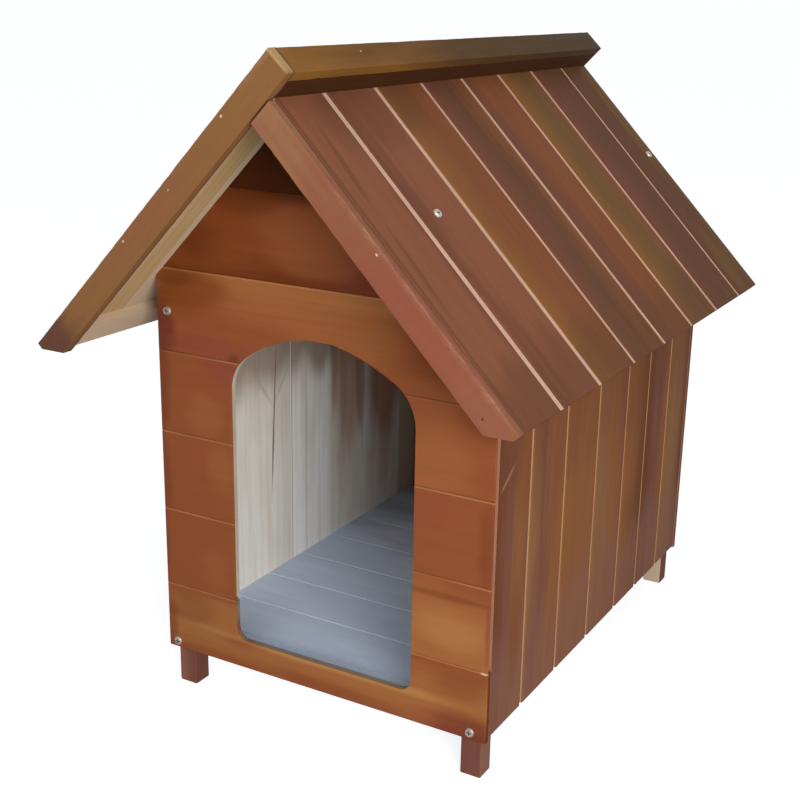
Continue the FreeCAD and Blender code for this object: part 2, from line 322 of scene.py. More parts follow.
def drawn_out(tree, space, length, width, seed, detail=2.0, distortion=0.0):
    """A pattern drawn out along the grain, whose patches measure length by width millimetres."""
    sized = {}
    for axis, size in enumerate((length, width, width)):
        sized[axis] = add(tree, "Math", {0: space[axis], 1: 1 / size}, operation="MULTIPLY")
    joined = add(tree, "CombineXYZ", sized)
    return add(tree, "TexNoise", {"Vector": joined, "W": seed, "Scale": 1.0, "Detail": detail,
                                  "Distortion": distortion}, noise_dimensions="4D")


def softwood(tree, space, seed):
    """What every board shows: wide soft clouds, streaks, and pores drawn coarse enough to see."""
    sizes = bpy.context.scene.dog_house_sizes
    streak = sizes.streak_width / MM
    pore = sizes.pore_width / MM
    cloud = sizes.cloud_width / MM
    return (drawn_out(tree, space, cloud * CLOUD_LENGTH, cloud, seed),
            drawn_out(tree, space, streak * STREAK_LENGTH, streak, seed + STREAK_SEED, detail=3.0,
                      distortion=0.3),
            drawn_out(tree, space, pore * PORE_LENGTH, pore, seed + PORE_SEED))


def wooden_shader(tree, colour, streak, pore, finish):
    """Matt, slightly uneven wood, in one of the finishes that are named above."""
    relief, rough = finish
    height = add(tree, "Math", {0: streak, 1: STREAK_RELIEF, 2: pore}, operation="MULTIPLY_ADD")
    normal = add(tree, "Bump", {"Height": height, "Strength": RELIEF_STRENGTH,
                                "Distance": relief * MM})
    roughness = add(tree, "Math", {0: streak, 1: -ROUGHNESS_DRIFT,
                                   2: rough + ROUGHNESS_DRIFT / 2}, operation="MULTIPLY_ADD")
    shader = add(tree, "BsdfPrincipled", {"Base Color": colour, "Roughness": roughness,
                                          "Normal": normal,
                                          "Specular IOR Level": WOOD_SPECULAR})
    add(tree, "OutputMaterial", {"Surface": shader})


def grained(tree, colour, broad, fine, depths):
    """A colour made lighter and darker by a broad and a fine pattern of the grain."""
    broad_depth, fine_depth = depths
    level = 1 - broad_depth / 2 - fine_depth / 2
    shade = add(tree, "Math", {0: broad, 1: broad_depth, 2: level}, operation="MULTIPLY_ADD")
    shade = add(tree, "Math", {0: fine, 1: fine_depth, 2: shade}, operation="MULTIPLY_ADD")
    return add(tree, "HueSaturation", {"Color": colour, "Value": shade})


def masked(tree, colour, other, pattern, mask, **settings):
    """A colour that gives way to another one as a mask of a pattern says."""
    share = add(tree, "MapRange", {0: pattern, **mask}, **settings)
    return add(tree, "Mix", {0: share, 6: colour, 7: other}, out=2, data_type="RGBA")


def soaked_bands(tree, grain, space, run, stains, cloud, streak):
    """Stains that follow each other over the board and run into each other unevenly."""
    low, high = grain.span
    place = add(tree, "MapRange", {0: space[run], 1: low, 2: high})
    place = add(tree, "Math", {0: cloud, 1: CLOUD_DRIFT, 2: place}, operation="MULTIPLY_ADD")
    place = add(tree, "Math", {0: streak, 1: STREAK_DRIFT, 2: place}, operation="MULTIPLY_ADD")
    place = add(tree, "Math", {0: place, 1: (CLOUD_DRIFT + STREAK_DRIFT) / 2},
                operation="SUBTRACT")
    colour = add(tree, "ValToRGB", {0: place})
    ramp = colour.node.color_ramp
    ramp.interpolation = "EASE"
    ramp.elements[0].color = shade_of(stains[0])
    ramp.elements[-1].color = shade_of(stains[-1])
    for i, stain in enumerate(stains[1:-1], start=1):
        ramp.elements.new(i / (len(stains) - 1)).color = shade_of(stain)
    return colour


def touched(tree, space, colour, touches, cloud):
    """A colour with soft patches of others on it: the finishes below say what a touch holds."""
    for along, across, length, width, stain, strength, *lean in touches:
        run = add(tree, "Math", {0: space[0], 1: along}, operation="SUBTRACT")
        rise = add(tree, "Math", {0: space[1], 1: across}, operation="SUBTRACT")
        if lean:
            rise = add(tree, "Math", {0: run, 1: -lean[0], 2: rise}, operation="MULTIPLY_ADD")
        joined = add(tree, "CombineXYZ", {0: run, 1: rise})
        sized = add(tree, "VectorMath", {0: joined, 1: (1 / length, 1 / width, 1)},
                    operation="MULTIPLY")
        away = add(tree, "VectorMath", {0: sized}, out="Value", operation="LENGTH")
        away = add(tree, "Math", {0: cloud, 1: TOUCH_FRAY, 2: away}, operation="MULTIPLY_ADD")
        colour = masked(tree, colour, shade_of(stain), away, {**TOUCH_EDGE, 4: strength},
                        interpolation_type="SMOOTHSTEP")
    return colour


def below_surface(tree, space, colour, depth, inner):
    """Another colour for all of the board that lies deeper than depth millimetres."""
    return masked(tree, colour, inner, space[2], {1: depth - SURFACE_MARGIN,
                                                  2: depth + SURFACE_MARGIN})


def seam_lips(tree, space, colour, lips, cloud):
    """Under each seam the lip is lighter, worn and partly painted highlight; over it lies dark
    stain.
    """
    low, high = lips
    worn = add(tree, "MapRange", {0: cloud, **LIP_WEAR})
    start, full = LIP_ZONE
    rubbed = add(tree, "MapRange", {0: space[1], 1: high - start, 2: high - full,
                                    4: LIP_STRENGTH})
    rubbed = add(tree, "Math", {0: rubbed, 1: worn}, operation="MULTIPLY")
    colour = add(tree, "Mix", {0: rubbed, 6: colour, 7: shade_of("lip")}, out=2, data_type="RGBA")
    start, full = DIRT_ZONE
    return masked(tree, colour, shade_of("knot"), space[1],
                  {1: low + start, 2: low + full, 4: DIRT_STRENGTH})


def sawn_end(tree, grain, space, colour, rest):
    """End grain drinks more stain than the rest of a board: it is darker, with fine pale flecks
    left by the saw. The rest is the colour of all other faces."""
    facing = add(tree, "NewGeometry", out="True Normal")
    facing = add(tree, "VectorMath", {0: facing, 1: grain.axes[0]}, out="Value",
                 operation="DOT_PRODUCT")
    facing = add(tree, "Math", {0: facing}, operation="ABSOLUTE")
    fleck = drawn_out(tree, space, FLECK_SIZE, FLECK_SIZE, FLECK_SEED, detail=3.0)
    end = add(tree, "HueSaturation", {"Color": colour, "Value": END_SHADE})
    end = masked(tree, end, shade_of("fibre"), fleck, END_FLECKS)
    return masked(tree, rest, end, facing, END_FACING)


def rubbed_arris(tree, space, colour, start, finish):
    """The outer upper corner of a barge board, rubbed to bare pale fibres between start and
    finish along the board."""
    near = add(tree, "Math", {0: space[1], 1: space[2]}, operation="ADD")
    mask = add(tree, "MapRange", {0: near, **ARRIS_REACH})
    fibre = drawn_out(tree, space, FIBRE_LENGTH, FIBRE_WIDTH, FIBRE_SEED, detail=4.0,
                      distortion=1.2)
    fibre = add(tree, "MapRange", {0: fibre, **ARRIS_FIBRES})
    patch = drawn_out(tree, space, WEAR_LENGTH, WEAR_WIDTH, WEAR_SEED)
    patch = add(tree, "MapRange", {0: patch, **ARRIS_PATCHES})
    came = add(tree, "MapRange", {0: space[0], 1: start, 2: start + WEAR_COMES},
               interpolation_type="SMOOTHSTEP")
    went = add(tree, "MapRange", {0: space[0], 1: finish, 2: finish - WEAR_GOES})
    for part in (fibre, patch, came, went):
        mask = add(tree, "Math", {0: mask, 1: part}, operation="MULTIPLY")
    return add(tree, "Mix", {0: mask, 6: colour, 7: shade_of("fibre")}, out=2, data_type="RGBA")


def bare_colour(tree, base, cloud, streak, pore):
    """Unfinished softwood: pale, with soft browner streaks of latewood."""
    colour = base
    for pattern, mask in ((streak, LATEWOOD), (cloud, WEATHERED)):
        colour = masked(tree, colour, shade_of("bare_brown"), pattern, mask)
    return grained(tree, colour, streak, pore, BARE_GRAIN)


def stained_wood(name, grain, stains, seed, run=1, bare=None, bare_from=GROOVE_DEPTH,
                 bare_touches=(), bare_ends=False, back=None, inner_touches=(), lips=None,
                 touches=(), arris=None, skin=None):
    """Softwood under a thin brown wood stain, brushed on by hand. It soaks in unevenly, so the
    colour drifts softly from stain to stain over each board, with faint streaks and pores along
    the grain and dark sawn ends. The stains follow each other along the board if run is 0 and
    across it if run is 1. If bare is given, it is the wood's colour deeper than bare_from
    millimetres, as in the grooves, and back is that of the inner face. A skin is another colour
    for the outer face alone. With bare_ends the ends look as their depth says."""
    material, tree = new_material(name)
    space = board_space(tree, grain)
    cloud, streak, pore = softwood(tree, space, seed)
    colour = soaked_bands(tree, grain, space, run, stains, cloud, streak)
    colour = touched(tree, space, colour, touches, cloud)
    colour = grained(tree, colour, streak, pore, STAIN_GRAIN)
    if lips is not None:
        colour = seam_lips(tree, space, colour, lips, cloud)
    if arris is not None:
        colour = rubbed_arris(tree, space, colour, *arris)
    stained = colour
    if bare is not None:
        pale = touched(tree, space, shade_of(bare), bare_touches, cloud)
        pale = grained(tree, pale, cloud, pore, TONGUE_GRAIN)
        colour = below_surface(tree, space, colour, bare_from, pale)
    if back is not None:
        inner = bare_colour(tree, shade_of(back), cloud, streak, pore)
        inner = touched(tree, space, inner, inner_touches, cloud)
        colour = below_surface(tree, space, colour, INNER_FACE, inner)
    if skin is not None:
        face = grained(tree, shade_of(skin), streak, pore, SKIN_GRAIN)
        colour = below_surface(tree, space, face, SKIN_DEPTH, colour)
    if not bare_ends:
        colour = sawn_end(tree, grain, space, stained, colour)
    wooden_shader(tree, colour, streak, pore, STAINED)
    return material


def bare_wood(name, grain, base, seed):
    """Sawn softwood with no finish: dry, pale and matt, with browner latewood streaks."""
    material, tree = new_material(name)
    space = board_space(tree, grain)
    cloud, streak, pore = softwood(tree, space, seed)
    colour = bare_colour(tree, shade_of(base), cloud, streak, pore)
    wooden_shader(tree, colour, streak, pore, BARE)
    return material


def painted_wood(name, grain, seed, touches):
    """Thin blue-grey floor paint brushed on boards: satin, with the grain showing faintly through
    and paler strokes where feet have rubbed it."""
    material, tree = new_material(name)
    space = board_space(tree, grain)
    cloud, streak, pore = softwood(tree, space, seed)
    stroke = drawn_out(tree, space, STROKE_LENGTH, STROKE_WIDTH, seed + STROKE_SEED, detail=4.0,
                       distortion=0.8)
    colour = masked(tree, shade_of("paint"), shade_of("worn_paint"), stroke, RUBBED_STROKES)
    colour = touched(tree, space, colour, touches, cloud)
    colour = grained(tree, colour, cloud, streak, PAINT_GRAIN)
    wooden_shader(tree, colour, streak, pore, PAINTED)
    return material


def plated_steel(name):
    """Zinc-plated steel pressed into a pan head: pale, a little dull, with soft highlights, and
    darkened by ambient occlusion in the cross recess and round the rim: dirt and painted shade."""
    material, tree = new_material(name)
    at = add(tree, "TexCoord", out="Object")
    dust = add(tree, "TexNoise", {"Vector": at, "Scale": 1 / TARNISH_SIZE, "Detail": 3.0})
    colour = masked(tree, shade_of("steel"), shade_of("tarnish"), dust, TARNISHED)
    openness = add(tree, "AmbientOcclusion", {"Distance": RECESS_REACH}, out="AO")
    colour = masked(tree, shade_of("knot"), colour, openness, OPEN_AIR)
    rough = add(tree, "MapRange", {0: dust, **STEEL_ROUGHNESS})
    shader = add(tree, "BsdfPrincipled", {"Base Color": colour, "Metallic": STEEL_METALLIC,
                                          "Roughness": rough})
    add(tree, "OutputMaterial", {"Surface": shader})
    return material


# ---- pieces ----
MERGED = 0.002 * MM  # vertices nearer than this are one
ON_PLANE = 0.01 * MM  # a vertex nearer than this lies on a cut
FLAT = math.radians(0.5)  # faces that meet at less are one face
SHARP = math.radians(30)  # faces that meet at more make a corner
PARALLEL = 0.999  # least cosine between an edge and the direction that it runs in
DENT_SPACING = 9 * MM
DENT_SHARE = 0.25  # added to a noise about zero: more dents than whole wood
PLANK_STEP = 4 * MM  # length of the pieces that a dented board is cut into


def dress(name, material):
    """Give a CAD node a material."""
    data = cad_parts[name].data
    data.materials.clear()
    data.materials.append(material)


def cut_through(bm, place, normal):
    """Cut every face that a plane crosses; returns the vertices and edges on the plane."""
    cut = bmesh.ops.bisect_plane(bm, geom=bm.verts[:] + bm.edges[:] + bm.faces[:],
                                 dist=ON_PLANE, plane_co=place, plane_no=normal)
    return cut["geom_cut"]


def merged_copy(node, cuts=()):
    """A CAD node's mesh with its loose triangles merged into whole faces. The cuts are upright
    planes through its screw holes, by their x, so that no face is left with a hole in it."""
    bm = bmesh.new()
    bm.from_mesh(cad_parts[node].data)
    bmesh.ops.remove_doubles(bm, verts=bm.verts, dist=MERGED)
    for x in cuts:
        for part in cut_through(bm, X * x * MM, X):
            if isinstance(part, bmesh.types.BMEdge):
                part.smooth = False
    bmesh.ops.dissolve_limit(bm, angle_limit=FLAT, verts=bm.verts, edges=bm.edges,
                             delimit={"SHARP"})
    return bm


def rub_corners(bm, edges):
    """Round chosen corners by the easing in the settings; returns the new vertices."""
    easing = bpy.context.scene.dog_house_sizes.easing
    made = bmesh.ops.bevel(bm, geom=edges, offset=easing, offset_type="OFFSET", segments=2,
                           profile=0.5, affect="EDGES", material=-1, clamp_overlap=True)
    return made["verts"]


def stand_for(bm, node, material):
    """Put a finished mesh in the scene in place of its CAD node."""
    mesh = bpy.data.meshes.new("eased_" + node)
    bm.to_mesh(mesh)
    bm.free()
    mesh.materials.append(material)
    piece = bpy.data.objects.new("eased_" + node, mesh)
    bpy.context.collection.objects.link(piece)
    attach(piece, "root")
    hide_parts(node)


def is_corner(edge):
    """True for an outward corner between two whole faces."""
    return (len(edge.link_faces) == 2 and edge.is_convex
            and edge.calc_face_angle(0.0) > SHARP)


def runs_along(edge, direction, least):
    """True for an edge in a direction that is longer than the least length."""
    span = edge.verts[1].co - edge.verts[0].co
    return span.length > least and abs(span.normalized().dot(direction)) > PARALLEL


def worn_plank(node, material, origin, direction, dents, step=PLANK_STEP):
    """A plank whose long corners are rounded and dented: it is cut into short lengths, its
    corners are rubbed, and their new vertices sink by a smooth noise."""
    bm = merged_copy(node)
    places = [(v.co - origin).dot(direction) for v in bm.verts]
    first, last = min(places), max(places)
    for i in range(1, int((last - first) / step)):
        cut_through(bm, origin + direction * (first + i * step), direction)
    corners = [e for e in bm.edges if is_corner(e) and runs_along(e, direction, 0)]
    rubbed = rub_corners(bm, corners)
    bm.normal_update()
    inside = [v for v in rubbed if first + step < (v.co - origin).dot(direction) < last - step]
    moves = [(v, v.normal * dents * max(0.0, noise.noise(v.co / DENT_SPACING) + DENT_SHARE))
             for v in inside]
    for vertex, move in moves:
        vertex.co -= move
    stand_for(bm, node, material)


# ---- stage ----
# Places and sizes are in metres.
LAMP_TARGET = (0, 0, 0.35)
KEY_PLACE, KEY_SIZE, KEY_TINT = (0.1, -2.8, 1.6), 1.6, "#FFFAF4"
SIDE_PLACE, SIDE_SIZE, SIDE_TINT = (1.9, -1.95, 0.85), 1.2, "#FFFCF8"
SKY_TINT, PAPER_COLOUR, WHITE = "#EAF1FF", "#D8D8D8", "#FFFFFF"
PAPER_GLOW = 0.72  # white that the paper adds where the camera sees it
FLOOR_REACH = 150  # far enough that its edge is never seen


def area_lamp(name, place, size, power, tint):
    """A square lamp that looks at the middle of the dog house."""
    lamp = bpy.data.lights.new(name, "AREA")
    lamp.shape = "SQUARE"
    lamp.size = size
    lamp.energy = power
    lamp.color = from_hex(tint)[:3]
    holder = bpy.data.objects.new(name, lamp)
    holder.location = place
    aim = Vector(LAMP_TARGET) - Vector(place)
    holder.rotation_euler = aim.to_track_quat("-Z", "Y").to_euler()
    bpy.context.collection.objects.link(holder)


class DOGHOUSE_OT_stage(bpy.types.Operator):
    """Camera, lamps, world and floor"""
    bl_idname = "dog_house.stage"
    bl_label = "Stage"

    def execute(self, context):
        stage = context.scene.dog_house_stage
        self.camera(context, stage)
        self.world(context, stage)
        area_lamp("key_lamp", KEY_PLACE, KEY_SIZE, stage.key_power, KEY_TINT)
        area_lamp("side_lamp", SIDE_PLACE, SIDE_SIZE, stage.side_power, SIDE_TINT)
        self.floor(context)
        return {"FINISHED"}

    def camera(self, context, stage):
        """The camera, at the angle that the settings give."""
        data = bpy.data.cameras.new("camera")
        data.sensor_width = 36
        data.lens = stage.lens
        camera = bpy.data.objects.new("camera", data)
        turn = Matrix.Rotation(stage.yaw, 4, "Z")
        tilt = Matrix.Rotation(math.pi / 2 - stage.pitch, 4, "X")
        roll = Matrix.Rotation(stage.roll, 4, "Z")
        camera.matrix_world = Matrix.Translation(stage.place) @ turn @ tilt @ roll
        context.collection.objects.link(camera)
        context.scene.camera = camera

    def world(self, context, stage):
        """Even pale light, and plain white where the camera, a gloss or a glass sees it."""
        world = bpy.data.worlds.new("studio")
        world.use_nodes = True
        tree = world.node_tree
        tree.nodes.clear()
        seen = add(tree, "LightPath", out="Is Camera Ray")
        for ray in ("Is Glossy Ray", "Is Transmission Ray"):
            other = add(tree, "LightPath", out=ray)
            seen = add(tree, "Math", {0: seen, 1: other}, operation="MAXIMUM")
        lit = add(tree, "Background", {"Color": from_hex(SKY_TINT), "Strength": stage.ambient})
        white = add(tree, "Background", {"Color": from_hex(WHITE), "Strength": 1.0})
        mixed = add(tree, "MixShader", {0: seen, 1: lit, 2: white})
        add(tree, "OutputWorld", {"Surface": mixed})
        context.scene.world = world
        context.scene.view_settings.view_transform = "Standard"

    def floor(self, context):
        """Matt white paper, whiter to the camera than to the light that it sends back."""
        mesh = bpy.data.meshes.new("studio_floor")
        bm = bmesh.new()
        bmesh.ops.create_grid(bm, x_segments=1, y_segments=1, size=FLOOR_REACH)
        bm.to_mesh(mesh)
        bm.free()
        floor = bpy.data.objects.new("studio_floor", mesh)
        context.collection.objects.link(floor)
        material, tree = new_material("matt_white_paper")
        paper = add(tree, "BsdfDiffuse", {"Color": from_hex(PAPER_COLOUR)})
        seen = add(tree, "LightPath", out="Is Camera Ray")
        power = add(tree, "Math", {0: seen, 1: PAPER_GLOW}, operation="MULTIPLY")
        glow = add(tree, "Emission", {"Color": from_hex(WHITE), "Strength": power})
        both = add(tree, "AddShader", {0: paper, 1: glow})
        add(tree, "OutputMaterial", {"Surface": both})
        mesh.materials.append(material)


# ---- finishes, one operator for each group of pieces ----
# Bands are the stains that follow each other over a board. A touch is a mark or a shade on it: its
# place along and across the board, its reach each way, its colour, its strength and, where it
# leans, how far it goes across for each millimetre along. Places are in millimetres from the
# origin of the board's grain, and a reach of 900 or more covers all of a board.
SCREW_LINES = (-198.5, 192.5)  # x of the screws in the front, mm
FRONT_BANDS = {
    "1": "russet honey honey russet", "2_left": "russet russet russet",
    "2_right": "honey honey russet", "3_left": "russet russet russet",
    "3_right": "russet russet russet russet", "4_left": "russet russet russet",
    "4_right": "russet russet russet", "5": "russet russet honey", "6": "umber russet umber",
    # Board 7 and the upper edge of board 6 are darkened as painted shade under the roof.
    "7": "deep deep"}
FRONT_TOUCHES = {
    "1": ((191, 52, 62, 36, "wall_plum", 0.8), (-211, 72, 18, 40, "wall_plum", 0.5),
          (-106, 80, 34, 16, "wall_rose", 0.5), (10, 84, 220, 9, "wall_gold", 0.9),
          (-180, 104, 50, 24, "wall_umber", 0.3), (180, 106, 50, 24, "wall_umber", 0.35),
          (150, 60, 70, 16, "wall_rose", 0.4), (207, 129.6, 7, 1.8, "cream", 0.9)),
    "2_left": ((-212, 180, 14, 70, "wall_plum", 0.5), (-140, 160, 34, 40, "wall_honey", 0.3)),
    "2_right": ((165, 168, 60, 34, "wall_gold", 0.4), (165, 206, 80, 5, "wall_umber", 0.4),
                (212, 180, 8, 60, "wall_rose", 0.7)),
    "3_left": ((-212, 270, 18, 70, "wall_plum", 0.5), (-128, 290, 30, 34, "wall_honey", 0.4)),
    "3_right": ((134, 303, 44, 34, "wall_rose", 0.3), (206, 275, 18, 70, "wall_plum", 0.4)),
    "4_left": ((-212, 365, 20, 90, "wall_plum", 0.6), (-120, 404, 44, 24, "wall_rose", 0.7),
               (-150, 350, 34, 30, "wall_honey", 0.4)),
    "4_right": ((142, 350, 60, 60, "wall_honey", 0.5), (204, 414, 44, 46, "wall_umber", 0.5)),
    # On board 5 the broad wall_umber touch at the right is painted shade under the right barge
    # board.
    "5": ((-209, 445, 26, 50, "wall_plum", 0.9), (-128, 427, 72, 20, "wall_rose", 0.7),
          (-165, 487, 70, 34, "wall_sienna", 0.8), (190, 475, 110, 80, "wall_umber", 0.6),
          (20, 470, 120, 40, "wall_honey", 0.4), (-190, 500, 40, 14, "wall_umber", 0.5),
          (-107, 414, 12, 14, "wall_umber", 0.7)),
    "6": ((-150, 560, 110, 80, "wall_sienna", 0.9), (70, 532, 110, 30, "wall_plum", 0.7),
          # The darkest touch along the top of board 6 is painted shade under the roof.
          (-10, 572, 70, 40, "wall_russet", 0.7), (0, 612, 200, 22, "wall_deep", 0.6),
          (-165, 545, 60, 34, "wall_umber", 0.75),
          (-94, 593, 60, 16, "wall_umber", 0.6), (0, 538, 70, 22, "wall_russet", 0.7)),
    "7": ()}
JAMB_TOUCHES = ((-111.5, 250, 60, 2000, "jamb", 1.0), (119.5, 250, 60, 2000, "jamb", 1.0),
                (4, 450, 240, 200, "jamb", 1.0))
SILL_TOUCHES = ((4, 84, 190, 100, "sill_grey", 1.0),)
JAMB_DEPTH = 2.0  # the doorway's edges are bare deeper than this, mm
FACE_DEPTH = 0.1 * MM  # a vertex nearer than this lies on the front face
SEAM_ZONE = 8 * MM  # level corners this near to a seam stay sharp
SCREW_SEAT = 15 * MM  # the edges of a screw's seat are shorter than this
SCREW_ZONE = 40 * MM  # and no farther than this from the edge of the front
EDGE_ZONE = 0.9  # share of the half width beyond which a board ends
LONG_EDGE = 20 * MM  # upright corners are longer than this


class DOGHOUSE_OT_front(bpy.types.Operator):
    """Front boards: stain, and corners rubbed round the doorway and at the ends"""
    bl_idname = "dog_house.front"
    bl_label = "Front boards"

    def execute(self, context):
        for number, (label, bands) in enumerate(FRONT_BANDS.items()):
            name = "front_board_" + label
            low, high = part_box(name)
            lowest = label == "1"
            head = high.z / MM - TONGUE_REACH
            # The lowest board has no seam under it, and the lips of the gable's two boards stay
            # plain, so their wear is put beyond their faces.
            foot = low.z / MM - (2 * TONGUE_REACH if lowest else 0)
            lip = head if label < "6" else high.z / MM
            grain = Grain((0, front_face, 0), X, Z, Y, (low.z / MM, head))
            material = stained_wood("stained_pine_front_" + label, grain,
                                    stain_names("wall", bands), seed_of("front", number),
                                    bare="wall_umber" if lowest else "worn_end",
                                    bare_from=JAMB_DEPTH, bare_ends=True,
                                    bare_touches=SILL_TOUCHES if lowest else JAMB_TOUCHES,
                                    back="bare_grey", lips=(foot, lip),
                                    touches=FRONT_TOUCHES[label])
            bm = merged_copy(name, SCREW_LINES)
            rub_corners(bm, [e for e in bm.edges if self.is_rubbed(e, low.z, head * MM)])
            stand_for(bm, name, material)
        return {"FINISHED"}

    def is_rubbed(self, edge, foot, head):
        """True for corners of the front face, apart from the seams, the screw seats and what is
        not upright at a board's ends."""
        middle = (edge.verts[0].co + edge.verts[1].co) / 2
        on_face = all(abs(v.co.y - front_face) < FACE_DEPTH for v in edge.verts)
        at_seam = (runs_along(edge, X, SEAM_ZONE)
                   and not foot + SEAM_ZONE < middle.z < head - SEAM_ZONE)
        at_screw = (edge.calc_length() < SCREW_SEAT
                    and abs(middle.x) > half_width - SCREW_ZONE)
        at_end = abs(middle.x) > EDGE_ZONE * half_width and not runs_along(edge, Z, LONG_EDGE)
        return is_corner(edge) and on_face and not (at_seam or at_screw or at_end)


SIDE_BANDS = ("umber plum russet plum", "honey plum russet russet", "russet russet russet",
              "honey russet plum", "russet umber", "umber plum russet", "honey honey umber")
SIDE_TOUCHES = {
    1: ((338, -231, 14, 4.2, "fibre", 0.35, 1.4), (150, -200, 90, 20, "side_umber", 0.4)),
    2: ((239, -158, 22, 6, "side_honey", 0.9), (300, -120, 120, 12, "side_plum", 0.4)),
    4: ((120, 50, 120, 16, "side_honey", 0.5),)}
HEAD_SHADE = (420, 0, 170, 2000, "side_umber", 0.4)
FOOT_SHADE = (60, 0, 130, 2000, "side_dusk", 0.6)
# Painted shadow of the front wall along the top of the inner side walls.
INNER_HEAD_SHADOW = (380, 0, 90, 2000, "latewood", 0.75)
LEFT_INNER_TOUCHES = {
    3: ((319, -74, 34, 6, "latewood", 0.24, -0.73), (319, -36, 34, 6, "latewood", 0.24, 0.73),
        (271, -54, 125, 2.2, "side_umber", 0.9, 0.065)),
    4: ((200, -13.6, 900, 1.6, "latewood", 0.5), (200, -16.2, 900, 1.6, "white_edge", 0.9),
        (220, 20, 300, 3, "latewood", 0.2)),
    5: ((340, 125, 250, 60, "warm_brown", 0.75), (340, 88, 140, 13, "latewood", 0.6),
        (300, 112, 120, 14, "latewood", 0.35), (330, 158, 180, 16, "latewood", 0.5)),
    6: ((330, 220, 300, 70, "warm_brown", 0.95), (320, 194, 200, 20, "latewood", 0.4))}
INNER_BOARDS = ("bare_grey", "bare_grey", "bare_grey", "white_edge", "bare_grey", "bare_grey",
                "bare_brown")


class DOGHOUSE_OT_side_walls(bpy.types.Operator):
    """Side boards: stain outside and bare wood inside"""
    bl_idname = "dog_house.side_walls"
    bl_label = "Side boards"

    def execute(self, context):
        for side, label in SIDES:
            outer, inner = (SIDE_TOUCHES, {}) if side > 0 else ({}, LEFT_INNER_TOUCHES)
            for i, bands in enumerate(SIDE_BANDS, start=1):
                name = "%s_wall_board_%d" % (label, i)
                low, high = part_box(name)
                grain = Grain((side * half_width, 0, 0), Z, Y, X * -side,
                              (low.y / MM, high.y / MM))
                dress(name, stained_wood(
                    "stained_pine_%s_wall_%d" % (label, i), grain, stain_names("side", bands),
                    seed_of("side", i, side), bare="side_tongue", back=INNER_BOARDS[i - 1],
                    touches=(HEAD_SHADE, FOOT_SHADE, *outer.get(i, ())),
                    inner_touches=(INNER_HEAD_SHADOW, *inner.get(i, ()))))
        return {"FINISHED"}


BACK_BANDS = "russet honey russet plum russet umber"


class DOGHOUSE_OT_back(bpy.types.Operator):
    """Back boards: stain outside and bare wood inside"""
    bl_idname = "dog_house.back"
    bl_label = "Back boards"

    def execute(self, context):
        low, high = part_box("back_wall_boards")
        grain = Grain((0, back_face, 0), X, Z, -Y, (low.z / MM, high.z / MM))
        dress("back_wall_boards", stained_wood("stained_pine_back", grain,
                                               stain_names("wall", BACK_BANDS), seed_of("back"),
                                               back="bare_brown"))
        return {"FINISHED"}


ROOF_BANDS = ("russet russet russet plum", "plum russet russet", "honey sienna sienna",
              "plum umber sienna", "plum sienna sienna", "honey olive sienna", "plum umber umber",
              "umber umber olive")
ROOF_TOUCHES = {
    # On board 1 the first touch darkens its front edge beside the barge board: painted shade in
    # that seam.
    1: ((200, -357, 600, 4, "roof_umber", 0.6), (110, -331, 70, 6, "roof_plum", 0.8, -0.12),
        (240, -340, 80, 5, "roof_plum", 0.7, -0.06), (380, -320, 60, 40, "roof_plum", 0.6),
        (60, -300, 50, 40, "roof_umber", 0.4)),
    2: ((315, -284, 90, 30, "roof_russet", 0.6), (60, -230, 60, 60, "roof_plum", 0.6)),
    3: ((147, -208, 140, 22, "roof_honey", 0.5), (40, -165, 70, 60, "roof_umber", 0.6)),
    7: ((360, 240, 80, 60, "roof_umber", 0.6),),
    8: ((357, 330, 70, 26, "roof_olive", 0.8), (60, 290, 60, 60, "roof_umber", 0.6))}
EAVE_SHADE = (425, 0, 110, 2000, "roof_umber", 0.6)


class DOGHOUSE_OT_roof(bpy.types.Operator):
    """Roof boards: stain, with bare tongues and undersides"""
    bl_idname = "dog_house.roof"
    bl_label = "Roof boards"

    def execute(self, context):
        for side, label in SIDES:
            down, inward = slope_axes(side)
            seen = ROOF_TOUCHES if side > 0 else {}
            for i, bands in enumerate(ROOF_BANDS, start=1):
                name = "%s_roof_board_%d" % (label, i)
                low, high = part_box(name)
                grain = Grain(APEX, down, Y, inward, (low.y / MM, high.y / MM))
                dress(name, stained_wood(
                    "stained_pine_%s_roof_%d" % (label, i), grain, stain_names("roof", bands),
                    seed_of("roof", i, side), bare="tongue",
                    back="bare_tan" if i == 1 else "bare_fawn",
                    touches=(EAVE_SHADE, *seen.get(i, ()))))
        return {"FINISHED"}


BARGE_BANDS = {"right": "honey russet rose rose russet", "left": "olive olive olive olive umber"}
BARGE_TOUCHES = {
    "right": ((204, 6, 1.9, 1.4, "cream", 0.6), (310, 4.6, 2.6, 1.6, "knot", 0.8),
              (377, 19.7, 2.2, 1.8, "knot", 0.9), (340, 8, 60, 14, "trim_rose", 0.6)),
    "left": ((180, 12, 130, 18, "trim_russet", 0.4), (51, 5, 2.1, 1.8, "cream", 0.6),
             (232, 5, 2.0, 1.8, "cream", 0.55), (150, 9, 1.8, 1.5, "cream", 0.4),
             (200, 31.5, 900, 4, "trim_olive", 0.9), (385, 12, 30, 30, "trim_umber", 0.8),
             (-32, 13, 4, 30, "bare_tan", 0.75))}
RIDGE_BANDS = "honey russet umber"
RIDGE_TOUCHES = ((-226, 10, 2.4, 2.0, "cream", 0.8),)
SLOPE_LENGTH = 409  # mm
ARRIS_WEAR = {"right": (90, SLOPE_LENGTH), "left": (-200, 30)}  # start and end, mm
BARGE_SEAM = 9.6  # deeper than this a barge board's edge is dark, mm
DENTS = {"right": 0.5, "left": 0.3, "ridge": 0.3}  # shares of the deepest dent
RIDGE_STEP = 12 * MM  # length of the pieces that the ridge board is cut into


